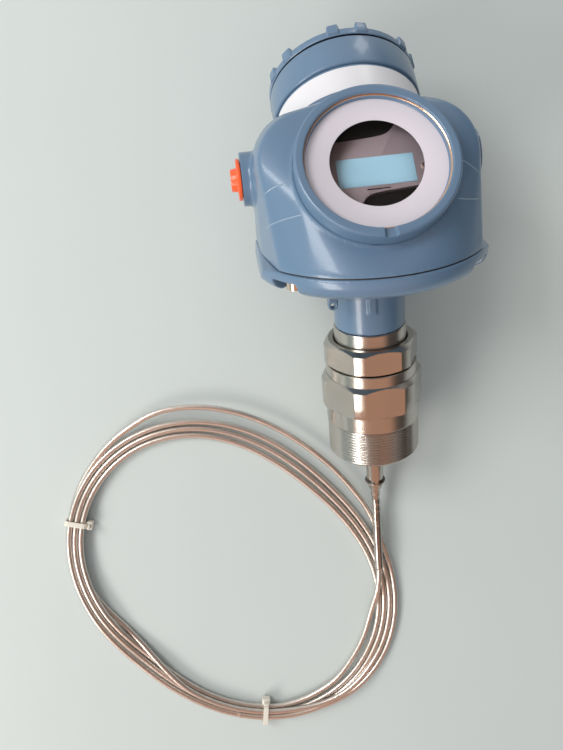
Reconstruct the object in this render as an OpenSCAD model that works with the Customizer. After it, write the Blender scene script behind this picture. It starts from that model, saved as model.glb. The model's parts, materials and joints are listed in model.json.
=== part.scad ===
// Guided wave radar level transmitter with a twin-compartment head, lying on
// a bench with its wire rope probe coiled beside it. Millimetres.
// Every piece is drawn upright first: z runs up the neck from the end of the
// process thread, the display side faces -y. lay_down() then turns it over.

/* [Process connection] */
// Outside diameter of the parallel process thread
thread_d = 59.6; // [48:0.2:66]
// Length of the process thread
thread_len = 25; // [16:1:40]
// Diameter of the turned shoulder above the thread
shoulder_d = 60.4; // [56:0.2:70]
// Height of the turned shoulder
shoulder_h = 11; // [6:1:20]
// Width across the flats of the lower hexagon
hex_af = 60; // [56:1:66]
// Diameter to which the lower hexagon's corners are turned
hex_turned_d = 65; // [62:1:72]
// Height of the lower hexagon
hex_h = 21; // [14:1:30]
// Diameter of the collar between hexagon and union nut
collar_d = 58; // [54:1:62]
// Visible height of that collar
collar_h = 7.2; // [4:0.2:12]

/* [Union nut] */
// Width across the flats of the union nut
nut_af = 55; // [53:1:60]
// Diameter to which its corners are turned
nut_turned_d = 59.6; // [58:0.2:66]
// Height of the union nut
nut_h = 16; // [12:0.5:24]
// Diameter of the thread that the union nut runs on
nut_thread_d = 49; // [46:1:51]
// Turn of both hexagons about the neck, degrees
hex_turn = -5; // [-30:1:30]

/* [Neck] */
// Outside diameter of the steel sleeve under the head
sleeve_d = 45.2; // [40:0.2:46]
// Height of the sleeve that shows above the union nut
sleeve_show = 8; // [4:0.5:16]
// Outside diameter of the cast neck
neck_d = 43.8; // [38:0.2:45]
// Length of the cast neck up to the flange
neck_len = 40; // [30:1:60]
// Bore of the cast neck
neck_bore_d = 34; // [24:1:36]

/* [Base flange] */
// Radius of the round flange
flange_r = 70; // [66:1:76]
// Half width of the head, flat side to middle
half_w = 64; // [60:1:66]
// Thickness of the flange
flange_t = 13; // [10:0.5:18]
// Thickness of the gasket above the flange
gasket_t = 0.8; // [0.5:0.1:2]
// Radius of the circle of the four flange screws
screw_circle_r = 60.5; // [56:0.5:62]
// Thread diameter of the flange screws
screw_d = 6; // [5:0.5:8]
// Head diameter of the flange screws
screw_head_d = 10.5; // [9:0.5:12]

/* [Head] */
// Height of the point where both compartment axes cross the neck axis,
// above the top of the gasket
hub_rise = 20.1; // [18:0.5:26]
// Rise of both compartment axes above level, degrees
tilt = 41; // [38:0.5:44]
// Radius of the two compartment barrels
barrel_r = 43.5; // [42:0.5:46]
// Radius of the cast form that the front barrel grows out of
front_form_r = 46.5; // [46:0.5:52]
// Radius of the cast form that the rear barrel grows out of
rear_form_r = 45.8; // [45.4:0.1:46]
// Distance of the rear form's face from the crossing point
rear_form_face = 42; // [38:0.5:50]
// Height of the domed shoulders above the gasket
shoulder_rise = 75; // [66:0.5:80]
// Radius of the shoulders' rounding
shoulder_round = 29; // [16:0.5:34]
// Radius of the threaded bores for the covers
bore_r = 40; // [38.5:0.1:40.4]
// Distance of the front barrel's face from the crossing point
front_face = 40; // [38:0.5:44]
// Distance of the rear barrel's face from the crossing point
rear_face = 63; // [60:0.5:68]
// Radius of the wiring and electronics pockets behind the covers
pocket_r = 35; // [32:0.5:36]
// Height of the conduit entries above the gasket
entry_rise = 38; // [34:0.5:42]
// Distance of the conduit entries behind the neck axis
entry_back = 18; // [14:0.5:22]
// Diameter of the conduit bosses
boss_d = 31; // [28:0.5:34]
// How far the bosses stand out from the flat sides
boss_out = 5.4; // [3:0.2:8]
// Thread diameter of the conduit entries
entry_d = 20; // [16:0.5:22]
// Depth of the conduit threads
entry_len = 18; // [12:1:20]

/* [Front cover] */
// Outside radius of the front cover
front_cover_r = 43.6; // [42.5:0.1:46]
// Height of the front cover above its seat
front_cover_h = 11.4; // [9:0.2:16]
// Radius of the opening in the cover's face
face_open_r = 38.6; // [37:0.1:39.5]
// Depth of the dial card under the cover's face
dial_depth = 5; // [4:0.2:6]
// Radius of the round window in the dial card
window_r = 24.8; // [20:0.2:30]
// Thickness of the glass
glass_t = 6; // [4:0.5:8]
// Width of the wrench slot in the cover's rim
slot_w = 5.5; // [4:0.5:8]
// Length of the threaded skirt of both covers
skirt_len = 12; // [8:0.5:13]

/* [Rear cover] */
// Outside radius of the rear cover
rear_cover_r = 45; // [44:0.1:47]
// Height of the smooth band of the rear cover
band_h = 19.4; // [14:0.2:24]
// Height of the castellated rim
rim_h = 5.2; // [4:0.2:9]
// Radius over the castellation lugs
lug_r = 46; // [45.5:0.1:49]
// Height of the lugs above the rim's face
lug_rise = 2.7; // [1:0.1:5]
// Number of lug pairs round the rim
lug_pairs = 6; // [3:1:8]
// Angle between the two lugs of a pair, degrees
lug_gap = 21; // [16:0.5:28]
// Angle that one lug takes up, degrees
lug_span = 9; // [6:0.5:11]

/* [Display] */
// Radius of the display module
display_r = 33; // [30:0.5:34]
// Width of the liquid crystal panel
lcd_w = 42; // [30:0.5:44]
// Height of the liquid crystal panel
lcd_h = 16.8; // [12:0.1:22]
// Distance of the liquid crystal panel from the middle, to the right
lcd_x = 0.8; // [-2:0.1:2]
// Depth of the display face under the cover's face
display_depth = 15; // [13:0.5:18]

/* [Probe] */
// Diameter of the probe stub
stub_d = 11.6; // [9:0.2:14]
// Length of the stub below the thread
stub_len = 33; // [20:1:45]
// Length of the stub's slimmer nose
nose_len = 9; // [6:1:16]
// Diameter of the wire rope
wire_d = 4; // [3:0.5:5]
// Diameter of the swaged sleeve on the wire rope
swage_d = 6; // [5.5:0.1:7]

/* [Hidden] */
$fn = 96;
fit = 0.05;        // radial clearance between pieces that are assembled once
run = 0.3;         // clearance between pieces that move on each other
tiny = 0.01;       // overlap that keeps cuts clean
blend_fn = 48;     // facets of the cast head's rounded forms

// --- heights along the neck, from the end of the thread
lead = 1;                                   // chamfer at the end of the thread
hex_z = thread_len + shoulder_h;
collar_z = hex_z + hex_h;
nut_z = collar_z + collar_h + run;
nut_top = nut_z + nut_h;
nut_lip = 3.4;                              // inward lip of the union nut
nut_thread_len = 9.5;                       // thread of the connection inside the nut
seat_z = collar_z + collar_h + nut_thread_len;
nut_gap = 0.7;                              // clearance round the sleeve in the nut's lip
sleeve_flange_r = nut_thread_d / 2 - run;
sleeve_flange_top = nut_top - nut_lip - run;
sleeve_top = nut_top + 0.8 + sleeve_show;
spigot_len = 22;                            // sleeve's length inside the cast neck
spigot_r = neck_bore_d / 2 - fit;
flange_z = sleeve_top + neck_len;
gasket_z = flange_z + flange_t;
head_z = gasket_z + gasket_t;
hub_z = head_z + hub_rise;
entry_z = head_z + entry_rise;
boss_x = half_w + boss_out;

// --- distances along the compartment axes, from their crossing point
front_top = front_face + front_cover_h;
skirt_r = bore_r - fit;
dial_z = front_top - dial_depth;
dial_t = 0.4;
glass_r = skirt_r - 2.2;
glass_z = dial_z - dial_t - glass_t;
glass_ring_t = 3.2;
display_z = front_top - display_depth;
rear_band = rear_face + 0.5;
rear_groove = rear_band + band_h;
groove_t = 1.2;
rear_rim = rear_groove + groove_t;
rear_top = rear_rim + rim_h;
lug_top = rear_top + lug_rise;

// --- how the transmitter rests: the lower rim of the thread and the two lugs
// that straddle the bottom of the rear cover touch the bench together
low_lug = lug_r * cos((lug_gap - lug_span) / 2);
lug_up = hub_z + lug_top * sin(tilt) - low_lug * cos(tilt);
lug_back = lug_top * cos(tilt) + low_lug * sin(tilt);
lie = atan2(lug_back - thread_d / 2, lug_up - lead);
lift = thread_d / 2 * cos(lie) - lead * sin(lie);
tip_z = -(stub_len + nose_len);
nose_r = stub_d / 2 - 1;
near_y = tip_z * cos(lie) - nose_r * sin(lie);
far_y = (hub_z + lug_top * sin(tilt)) * cos(lie) + lug_top * cos(tilt) * sin(lie)
  + low_lug * cos(lie + tilt);
plug_out = 6.4;                             // how far the plug stands out of its boss
plug_flange_r = 12;
mid_x = (boss_x - (boss_x + plug_out)) / 2;
mid_y = (near_y + far_y) / 2;

// --- the wire rope, measured from the bench point under the bend at the
// probe's tip: first its straight swaged sleeve, then the loose stretch, then
// the oval coil, whose outermost turn wanders out over part of the way round
bend_out = 6;                               // straight pin between stub and bend
bend_z = tip_z - bend_out;
bend_up = lift + bend_z * sin(lie);
sleeve_end = [-3, -51, 12];
wire_points = [[-3, -51, 12], [-3.5, -57, 12], [-5, -65, 11.5], [-7, -72, 9.5], [-9.5, -79, 6.5], [-12, -87, 4.5],
  [-15, -96, 4], [-19, -105, 4], [-24, -113, 4], [-30, -121, 4], [-37, -129, 4], [-43, -135, 4]];
coil_c = [-108, -43];
coil_mean = 105;
coil_oval = 15.5;
strands = 3;
tie_t = 1.1;
tie_w = 4.8;
coil_low = tie_t + 0.1;
coil_h = 6.6;
half_band = strands * wire_d / 2;
function coil_r(t) = coil_mean - coil_oval * sin(2 * t);
function stray(t) = t > 0 && t < 150 ? 12 * min(1, 1.25 * sin(1.2 * t)) : 0;
function coil_at(t, out) = coil_c + (coil_r(t) + out) * [cos(t), sin(t)];
function coil_turn(t) = t - atan2(-2 * coil_oval * cos(2 * t), coil_r(t));

module lay_down() { translate([-mid_x, -mid_y, lift]) rotate([-(90 - lie), 0, 0]) children(); }
module on_bench() { translate([-mid_x, -mid_y + bend_z * cos(lie), 0]) children(); }
module on_front_axis() { translate([0, 0, hub_z]) rotate([90 - tilt, 0, 0]) children(); }
module on_rear_axis() { translate([0, 0, hub_z]) rotate([-(90 - tilt), 0, 0]) children(); }

function arc(c, r, a0, a1, n) = [for (i = [0:n]) c + r * [cos(a0 + (a1 - a0) * i / n), sin(a0 + (a1 - a0) * i / n)]];

// hexagon bar with its corners turned off and both ends chamfered
module turned_hex(af, d, h, chamfer) {
  intersection() {
    cylinder(d = af / cos(30), h = h, $fn = 6);
    rotate_extrude() polygon([[0, 0], [d / 2 - chamfer, 0], [d / 2, chamfer], [d / 2, h - chamfer],
      [d / 2 - chamfer, h], [0, h]]);
  }
}

/* ---------- process connection and probe ---------- */
feed_r = 9;       // bore for the probe's insulated feed-through
module process_connection() {
  color("silver") lay_down() difference() {
    union() {
      rotate_extrude() polygon([[0, 0], [thread_d / 2 - lead, 0], [thread_d / 2, lead],
        [thread_d / 2, thread_len - 2.5], [thread_d / 2 - 1.2, thread_len - 1.3], [thread_d / 2 - 1.2, thread_len - 1],
        [shoulder_d / 2, thread_len], [shoulder_d / 2, hex_z + 1], [0, hex_z + 1]]);
      translate([0, 0, hex_z]) rotate([0, 0, -90 - hex_turn]) turned_hex(hex_af, hex_turned_d, hex_h, 1);
      translate([0, 0, collar_z - 1]) cylinder(d = collar_d, h = collar_h + 1);
      translate([0, 0, collar_z]) cylinder(d = nut_thread_d, h = collar_h + nut_thread_len);
    }
    translate([0, 0, -tiny]) cylinder(r = stub_d / 2 + fit, h = thread_len);
    translate([0, 0, thread_len - 2 * tiny]) cylinder(r = feed_r, h = seat_z);
    translate([0, 0, seat_z - 4]) cylinder(r1 = feed_r, r2 = feed_r + 6, h = 4 + tiny);
  }
}

// cone seal between the connection and the sleeve
module tank_seal() {
  color("white") lay_down() rotate_extrude() polygon([[4, thread_len], [feed_r - fit, thread_len],
    [feed_r - fit, seat_z - 4], [feed_r + 6 - 2 * fit, seat_z], [feed_r + 6 - 2 * fit, seat_z + run - fit],
    [4, seat_z + run - fit]]);
}

module union_nut() {
  color("silver") lay_down() translate([0, 0, nut_z]) difference() {
    rotate([0, 0, -90 - hex_turn]) turned_hex(nut_af, nut_turned_d, nut_h, 1.4);
    translate([0, 0, -tiny]) cylinder(r = nut_thread_d / 2 + run, h = nut_h - nut_lip + tiny);
    translate([0, 0, -tiny]) cylinder(r = sleeve_d / 2 + nut_gap, h = nut_h + 1);
  }
}

module neck_sleeve() {
  color("silver") lay_down() difference() {
    union() {
      translate([0, 0, seat_z + run]) cylinder(r = sleeve_flange_r, h = sleeve_flange_top - seat_z - run);
      translate([0, 0, seat_z + run]) cylinder(d = sleeve_d, h = sleeve_top - seat_z - run);
      cylinder(r = spigot_r, h = sleeve_top + spigot_len);
    }
    translate([0, 0, -1]) cylinder(r = spigot_r + 1, h = seat_z + run + 1);
    cylinder(r = spigot_r - 3, h = sleeve_top + spigot_len + 1);
  }
}

ring_groove_z = 2.6 - stub_len;
module probe_stub() {
  r = stub_d / 2;
  color("silver") lay_down() rotate_extrude() polygon([[0, tip_z], [nose_r - 1.6, tip_z], [nose_r - 1.6, tip_z + 4],
    [nose_r - 0.4, tip_z + 5], [nose_r, -stub_len - 1], [r, -stub_len], [r, ring_groove_z - 0.6], [r - 0.6, ring_groove_z - 0.6],
    [r - 0.6, ring_groove_z + 0.6], [r, ring_groove_z + 0.6], [r, thread_len - 2 * tiny],
    [3.9, thread_len - 2 * tiny], [3.9, seat_z], [0, seat_z]]);
}

// open snap ring in the stub's groove
module retaining_ring() {
  r = stub_d / 2;
  color("dimgray") lay_down() translate([0, 0, ring_groove_z - 0.5]) difference() {
    cylinder(r = r + 1.4, h = 1);
    translate([0, 0, -1]) cylinder(r = r - 0.6 + fit, h = 3);
    translate([0, -r, 0.5]) cube([3, 4 * r / 2, 3], center = true);
  }
}

/* ---------- cast base, gasket and screws ---------- */
cheek_r = 280;        // radius of both curved cheeks, seen along the neck
cheek_back = 25;      // the cheeks are widest this far behind the neck axis
module cheeks(w) {
  intersection() {
    translate([w - cheek_r, cheek_back]) circle(r = cheek_r);
    translate([cheek_r - w, cheek_back]) circle(r = cheek_r);
  }
}
module flange_outline(r, w) { intersection() { circle(r = r); cheeks(w); } }
screw_angles = [38, 142, 218, 322];
flange_foot_r = 63.5; // radius of the flange's flat underside
cheek_slope = 6;      // height of the sloping edge over each cheek
head_recess = 8;      // depth of the side-open recess for each screw head
recess_w = screw_head_d + 7.5;
module base_flange() {
  color("steelblue") lay_down() difference() {
    union() {
      intersection() {
        rotate_extrude() polygon(concat([[0, flange_z], [flange_foot_r, flange_z]],
          arc([flange_r - 9, gasket_z - 4], 9, -50, 0, 5), [[flange_r, gasket_z - 1], [flange_r - 1, gasket_z], [0, gasket_z]]));
        hull() {
          translate([0, 0, gasket_z - 1]) linear_extrude(1) flange_outline(flange_r + 6, half_w + 0.5, $fn = 64);
          translate([0, 0, flange_z + (flange_t - cheek_slope) / 2])
            cube([2 * half_w + 3, 2 * flange_r + 2, flange_t - cheek_slope], center = true);
        }
      }
      translate([0, 0, sleeve_top]) cylinder(d = neck_d, h = neck_len + 1);
      neck_ears();
    }
    translate([0, 0, sleeve_top - 1]) cylinder(d = neck_bore_d, h = neck_len + flange_t + 2);
    for (a = screw_angles) rotate([0, 0, a]) translate([screw_circle_r, 0, 0]) {
      translate([0, 0, flange_z - 1]) cylinder(r = screw_d / 2 + 0.3, h = flange_t + 2);
      translate([0, 0, flange_z - 1]) cylinder(d = recess_w, h = head_recess + 1);
      translate([0, -recess_w / 2, flange_z - 1]) cube([20, recess_w, head_recess + 1]);
    }
    translate([-ear_x, -ear_back, flange_z - ear_drop]) rotate([90, 0, 0]) cylinder(r = 1.6, h = 12, center = true);
  }
}

// ear with a hole for a seal wire, and the stop rib on the neck
ear_x = 26;
ear_back = 24;        // distance of the ear in front of the neck axis
ear_drop = 16;        // distance of the ear's hole under the flange
rib_w = 4.6;
rib_len = 26;
module neck_ears() {
  translate([-ear_x, -ear_back, flange_z - ear_drop / 2]) cube([6, 5, ear_drop + tiny], center = true);
  translate([-ear_x, -ear_back, flange_z - ear_drop]) rotate([90, 0, 0]) cylinder(r = 3, h = 5, center = true);
  translate([-rib_w / 2, -neck_d / 2 + 3, flange_z - rib_len / 2]) cube([rib_w, 8, rib_len + tiny], center = true);
}

module base_gasket() {
  inset = 1.2;
  color("dimgray") lay_down() translate([0, 0, gasket_z]) linear_extrude(gasket_t) difference() {
    flange_outline(flange_r - inset, half_w + 0.5 - inset);
    circle(d = neck_bore_d);
    for (a = screw_angles) rotate(a) translate([screw_circle_r, 0]) circle(r = screw_d / 2 + 0.3);
  }
}

screw_len = 11;       // length of thread that enters the housing
head_sunk = 2;        // distance of the screw heads inside the flange's underside
module base_screws() {
  color("silver") lay_down() for (a = screw_angles) rotate([0, 0, a]) translate([screw_circle_r, 0, 0]) difference() {
    union() {
      translate([0, 0, flange_z + head_sunk]) cylinder(d = screw_head_d, h = head_recess - head_sunk);
      translate([0, 0, flange_z + head_recess - 1]) cylinder(d = screw_d, h = flange_t - head_recess + gasket_t + screw_len);
    }
    translate([0, 0, flange_z + head_sunk - 1]) cylinder(d = 5 / cos(30), h = 4.4, $fn = 6);
  }
}

/* ---------- twin-compartment housing ---------- */
// rounded disc, used as a hull's child: radius r, thickness t, edge radius e
module soft_disc(r, t, e) {
  rotate_extrude($fn = blend_fn) polygon(concat([[0, 0]], arc([r - e, e], e, -90, 0, 4),
    arc([r - e, t - e], e, 0, 90, 4), [[0, t]]));
}

module dome() {
  translate([0, 0, head_z]) rotate_extrude($fn = blend_fn) polygon(concat([[0, 0], [half_w - 0.5, 0]],
    arc([half_w - 0.5 - shoulder_round, shoulder_rise - shoulder_round], shoulder_round, 0, 90, 7), [[0, shoulder_rise]]));
}
form_t = 4;           // thickness of the discs that end the cast form
module cast_form() {
  hull() {
    translate([0, 0, head_z]) linear_extrude(1) flange_outline(flange_r - 0.8, half_w, $fn = 64);
    intersection() {
      dome();
      on_front_axis() translate([0, 0, front_face - 202]) cylinder(r = 200, h = 200);
      on_rear_axis() translate([0, 0, rear_form_face - 202]) cylinder(r = 200, h = 200);
    }
    on_front_axis() translate([0, 0, front_face - 0.6 - form_t]) soft_disc(front_form_r, form_t, 2);
    on_rear_axis() translate([0, 0, rear_form_face - form_t]) soft_disc(rear_form_r, form_t, 1.8);
  }
}

barrel_root = 28;     // the barrels start this far out, inside the cast forms
module housing() {
  color("steelblue") lay_down() difference() {
    union() {
      cast_form();
      on_front_axis() translate([0, 0, barrel_root]) cylinder(r = barrel_r, h = front_face - barrel_root);
      on_rear_axis() translate([0, 0, barrel_root]) cylinder(r = barrel_r, h = rear_face - barrel_root);
      for (s = [-1, 1]) translate([s * (half_w - 12), entry_back, entry_z]) rotate([0, s * 90, 0])
        cylinder(d = boss_d, h = boss_out + 12);
    }
    housing_cuts();
  }
}

front_bore_z = front_face - skirt_len - 1.5;
rear_bore_z = rear_face - skirt_len - 2;
pocket_floor = 6;     // distance of both pocket floors from the crossing point
past = 200;           // side of the blocks that cut the pockets, past the whole head
wall_front = 2;       // the partition stands between these two planes
wall_back = 4;
module front_pocket() {
  intersection() {
    on_front_axis() translate([0, 0, pocket_floor]) cylinder(r = pocket_r, h = front_bore_z - pocket_floor + tiny);
    translate([-past / 2, -past - wall_front, 0]) cube([past, past, 2 * past]);
  }
}
module rear_pocket() {
  intersection() {
    on_rear_axis() translate([0, 0, pocket_floor]) cylinder(r = pocket_r, h = rear_bore_z - pocket_floor + tiny);
    translate([-past / 2, wall_back, 0]) cube([past, past, 2 * past]);
  }
}
module housing_cuts() {
  on_front_axis() translate([0, 0, front_face]) cylinder(r = front_cover_r + 1.5, h = 60);
  on_front_axis() translate([0, 0, front_bore_z]) cylinder(r = bore_r, h = 100);
  on_rear_axis() translate([0, 0, rear_bore_z]) cylinder(r = bore_r, h = 100);
  front_pocket();
  rear_pocket();
  for (s = [-1, 1]) translate([s * boss_x, entry_back, entry_z]) rotate([0, -s * 90, 0]) {
    translate([0, 0, -1]) cylinder(d = entry_d, h = entry_len + 1);
    cylinder(d = entry_d - 5, h = boss_x - 20);
  }
  for (a = screw_angles) rotate([0, 0, a]) translate([screw_circle_r, 0, head_z - 1]) cylinder(r = screw_d / 2 + fit, h = screw_len + 2);
  translate([half_w + 1, 8, head_z + 12.5]) rotate([0, -90, 0]) cylinder(d = 4 + 2 * fit, h = 11);
}

// orange shipping plug in the left entry
module entry_plug() {
  color("orangered") lay_down() translate([-boss_x, entry_back, entry_z]) rotate([0, -90, 0]) difference() {
    union() {
      translate([0, 0, run]) cylinder(r = plug_flange_r, h = 2.2);
      translate([0, 0, -10]) cylinder(r = entry_d / 2 - run, h = 11);
      translate([0, 0, 2]) cylinder(r1 = 6.8, r2 = 6.2, h = plug_out - 2);
    }
    translate([0, 0, -11]) cylinder(r = 7.5, h = 9);
  }
}

// outside earth screw with its washer, under the right entry
module ground_screw() {
  color("silver") lay_down() translate([half_w - 0.2, 8, head_z + 12.5]) rotate([0, 90, 0]) difference() {
    union() {
      translate([0, 0, -8]) cylinder(d = 4, h = 9);
      cylinder(d = 9, h = 1);
      translate([0, 0, 1 - tiny]) cylinder(d1 = 7.4, d2 = 6.6, h = 2.2);
    }
    translate([0, 0, 2.4]) cube([1, 9, 2], center = true);
  }
}

/* ---------- front cover ---------- */
lip_t = 1.4;
module front_cover() {
  seat = front_face + 0.4;
  color("steelblue") lay_down() on_front_axis() difference() {
    rotate_extrude() polygon([[glass_r + fit, front_face - skirt_len], [skirt_r, front_face - skirt_len],
      [skirt_r, seat], [front_cover_r - 0.8, seat], [front_cover_r, seat + 0.8], [front_cover_r, front_top - 1],
      [front_cover_r - 1, front_top], [face_open_r, front_top], [face_open_r, front_top - 1.5],
      [face_open_r - 0.8, front_top - 1.5], [face_open_r - 0.8, dial_z + lip_t], [face_open_r - 1.6, dial_z + lip_t],
      [face_open_r - 1.6, dial_z], [glass_r + fit, dial_z]]);
    o_ring_groove(front_face);
    rotate([0, 0, -90]) translate([face_open_r - 0.5, -slot_w / 2, front_top - 2.2]) cube([10, slot_w, 5]);
  }
}

// face seal of a cover, in a groove under the cover's shoulder
ring_r = 0.9;         // half the O-ring's section
ring_mid_r = bore_r + 1.5;
module o_ring(face) {
  rotate_extrude() translate([ring_mid_r, face + 0.1 + ring_r]) circle(r = ring_r, $fn = 24);
}
module o_ring_groove(face) {
  rotate_extrude() translate([ring_mid_r - ring_r - run, face - 1]) square([2 * (ring_r + run), 1.1 + 2 * ring_r + run]);
}
module front_o_ring() { color("black") lay_down() on_front_axis() o_ring(front_face); }
module rear_o_ring() { color("black") lay_down() on_rear_axis() o_ring(rear_face); }

module dial_card() {
  color("white") lay_down() on_front_axis() translate([0, 0, dial_z - dial_t]) difference() {
    cylinder(r = glass_r, h = dial_t);
    translate([0, 0, -1]) cylinder(r = window_r, h = 3);
  }
}
module front_glass() {
  color("lightcyan", 0.4) lay_down() on_front_axis() translate([0, 0, glass_z]) cylinder(r = glass_r, h = glass_t);
}
module glass_ring() {
  color("black") lay_down() on_front_axis() translate([0, 0, glass_z - glass_ring_t]) difference() {
    cylinder(r = glass_r, h = glass_ring_t);
    translate([0, 0, -1]) cylinder(r = display_r + 1.2, h = 9);
  }
}

/* ---------- display and electronics ---------- */
screw_x = display_r - 5.6;   // distance of the two display screws from the middle
small_d = 2.5;             // thread of the display screws
screw_reach = 12;          // how deep they reach under the display's face
carrier_t = 8;             // thickness of the carrier with its bezel
bezel_t = 2;
bezel_cut = 12;            // how much the bezel's plate is lower than the carrier
module display_module() {
  color("dimgray") lay_down() on_front_axis() difference() {
    union() {
      translate([0, 0, display_z - carrier_t]) cylinder(r = display_r, h = carrier_t - bezel_t);
      translate([0, 0, display_z - bezel_t - tiny]) intersection() {
        cylinder(r = display_r - 1.5, h = bezel_t + tiny);
        translate([0, 0, bezel_t]) cube([2 * display_r, 2 * display_r - bezel_cut, 4 * bezel_t], center = true);
      }
    }
    translate([lcd_x, 0, display_z]) cube([lcd_w + 0.2, lcd_h + 0.2, 2.4], center = true);
    for (s = [-1, 1]) translate([s * screw_x, 0, display_z - screw_reach]) cylinder(d = small_d + 2 * fit, h = 2 * screw_reach);
  }
}
module lcd_panel() {
  color("powderblue") lay_down() on_front_axis() translate([lcd_x, 0, display_z - 0.8]) cube([lcd_w, lcd_h, 0.8], center = true);
}
module display_screws() {
  color("silver") lay_down() on_front_axis() for (s = [-1, 1]) translate([s * screw_x, 0, 0]) {
    translate([0, 0, display_z - screw_reach]) cylinder(d = small_d, h = screw_reach + tiny);
    translate([0, 0, display_z]) cylinder(d1 = 2 * small_d, d2 = 1.6 * small_d, h = 1.3);
  }
}
module electronics_module() {
  top = display_z - carrier_t;
  color("darkslategray") lay_down() difference() {
    intersection() {
      on_front_axis() translate([0, 0, pocket_floor]) cylinder(r = pocket_r - fit, h = top - pocket_floor);
      translate([-past / 2, -past - wall_front, head_z + run]) cube([past, past, 2 * past]);
    }
    on_front_axis() for (s = [-1, 1]) translate([s * screw_x, 0, top - 4.2]) cylinder(d = small_d + 2 * fit, h = 9);
  }
}

/* ---------- rear cover and wiring side ---------- */
module rear_cover() {
  dish = 1.6;
  lug_deep = 5;       // how far the lugs reach in from the rim's outer side
  color("steelblue") lay_down() on_rear_axis() {
    difference() {
      union() {
        rotate_extrude() polygon([[0, rear_face + 2], [skirt_r - 4, rear_face + 2], [skirt_r - 4, rear_face - skirt_len],
          [skirt_r, rear_face - skirt_len], [skirt_r, rear_band], [rear_cover_r - 0.6, rear_band],
          [rear_cover_r, rear_band + 0.6], [rear_cover_r, rear_groove], [rear_cover_r - 1.3, rear_groove + groove_t / 2],
          [rear_cover_r, rear_rim], [rear_cover_r, rear_top - 1], [rear_cover_r - 1.4, rear_top], [0, rear_top]]);
        for (i = [0:lug_pairs - 1], s = [-1, 1])
          rotate([0, 0, 90 + i * 360 / lug_pairs + s * lug_gap / 2 - lug_span / 2])
            translate([0, 0, rear_rim + 0.6]) rotate_extrude(angle = lug_span)
              translate([rear_cover_r - lug_deep, 0]) square([lug_r - rear_cover_r + lug_deep, lug_top - rear_rim - 0.6]);
      }
      o_ring_groove(rear_face);
      translate([0, 0, rear_top - dish]) cylinder(r = rear_cover_r - 8, h = dish + 1);
    }
  }
}

label_sweep = 150;    // how far the bare label reaches round the rear barrel, degrees
label_t = 0.3;
label_len = (rear_face - rear_form_face) * 0.74;
label_edge = 1.5;     // distance of the label under the rear cover's seat
module rear_label() {
  color("white") lay_down() on_rear_axis() rotate([0, 0, -90 - label_sweep / 2]) rotate_extrude(angle = label_sweep)
    translate([barrel_r + fit, rear_face - label_edge - label_len]) square([label_t, label_len]);
}

module terminal_block() {
  base = pocket_floor;
  color("black") lay_down() difference() {
    union() {
      intersection() {
        on_rear_axis() translate([0, 0, base]) cylinder(r = pocket_r - fit, h = 4);
        translate([-past / 2, wall_back, head_z + run]) cube([past, past, 2 * past]);
      }
      on_rear_axis() translate([0, 12, base + 3.9 + 3]) cube([34, 13, 6], center = true);
    }
    on_rear_axis() for (x = [-12, -4, 4, 12]) translate([x, 12, base + 4]) cylinder(d = 3 + 2 * fit, h = 9);
  }
}
module terminal_screws() {
  base = pocket_floor;
  color("silver") lay_down() on_rear_axis() for (x = [-12, -4, 4, 12]) translate([x, 12, base + 4.4]) {
    cylinder(d = 3, h = 5.6);
    translate([0, 0, 5.5]) difference() {
      cylinder(d = 5.6, h = 2);
      translate([0, 0, 2]) cube([0.8, 8, 1.6], center = true);
    }
  }
}

/* ---------- wire rope ---------- */
module rod(from, to, r) {
  d = to - from;
  translate(from) rotate([0, acos(d.z / norm(d)), atan2(d.y, d.x)]) cylinder(r = r, h = norm(d));
}

module wire_swage() {
  bend = [0, 0, bend_up];
  color("silver") {
    lay_down() translate([0, 0, bend_z]) cylinder(d = swage_d - 0.6, h = bend_out);
    on_bench() translate(bend) sphere(d = swage_d);
    on_bench() rod(bend, sleeve_end, swage_d / 2);
  }
}

// tube of n sides swept along a list of points
function unit(v) = v / norm(v);
function along(p, i) = i == 0 ? unit(p[1] - p[0]) : i == len(p) - 1 ? unit(p[i] - p[i - 1]) : unit(p[i + 1] - p[i - 1]);
function ring(c, t, r, n) = let (x = unit(cross(t, [0, 0, 1])), y = cross(x, t))
  [for (k = [0:n - 1]) c + r * (x * cos(360 * k / n) + y * sin(360 * k / n))];
module tube(p, r, n) {
  m = len(p);
  polyhedron(
    points = [for (i = [0:m - 1]) each ring(p[i], i == 0 ? unit(sleeve_end - [0, 0, bend_up]) : along(p, i), r, n)],
    faces = concat([[for (k = [0:n - 1]) k]], [[for (k = [n - 1:-1:0]) (m - 1) * n + k]],
      [for (i = [0:m - 2], k = [0:n - 1]) let (j = (k + 1) % n)
        [i * n + k, (i + 1) * n + k, (i + 1) * n + j, i * n + j]]));
}
module probe_wire() { color("gainsboro") on_bench() tube(wire_points, wire_d / 2, 8); }

module wire_coil() {
  step = 6;
  color("gainsboro") on_bench() translate([0, 0, coil_low]) linear_extrude(coil_h) difference() {
    polygon([for (t = [0:step:359]) coil_at(t, half_band + stray(t))]);
    polygon([for (t = [0:step:359]) coil_at(t, -half_band)]);
  }
}

// cable tie round the coil at the angle t, its head on the inner side
module coil_tie(t) {
  gap = 0.4;
  wide = 2 * half_band + 2 * gap;
  color("white") on_bench() translate(coil_at(t, 0)) rotate(coil_turn(t)) {
    difference() {
      translate([0, 0, (coil_low + coil_h + gap + tie_t) / 2])
        cube([wide + 2 * tie_t, tie_w, coil_low + coil_h + gap + tie_t], center = true);
      translate([0, 0, tie_t + (coil_h + gap + 0.1) / 2]) cube([wide, tie_w + 1, coil_h + gap + 0.1], center = true);
    }
    translate([-wide / 2 - tie_t - 2.2, 0, 4.2]) cube([4.6, 7.4, 6.4], center = true);
  }
}
module coil_tie_left() { coil_tie(153); }
module coil_tie_front() { coil_tie(-84); }

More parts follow.
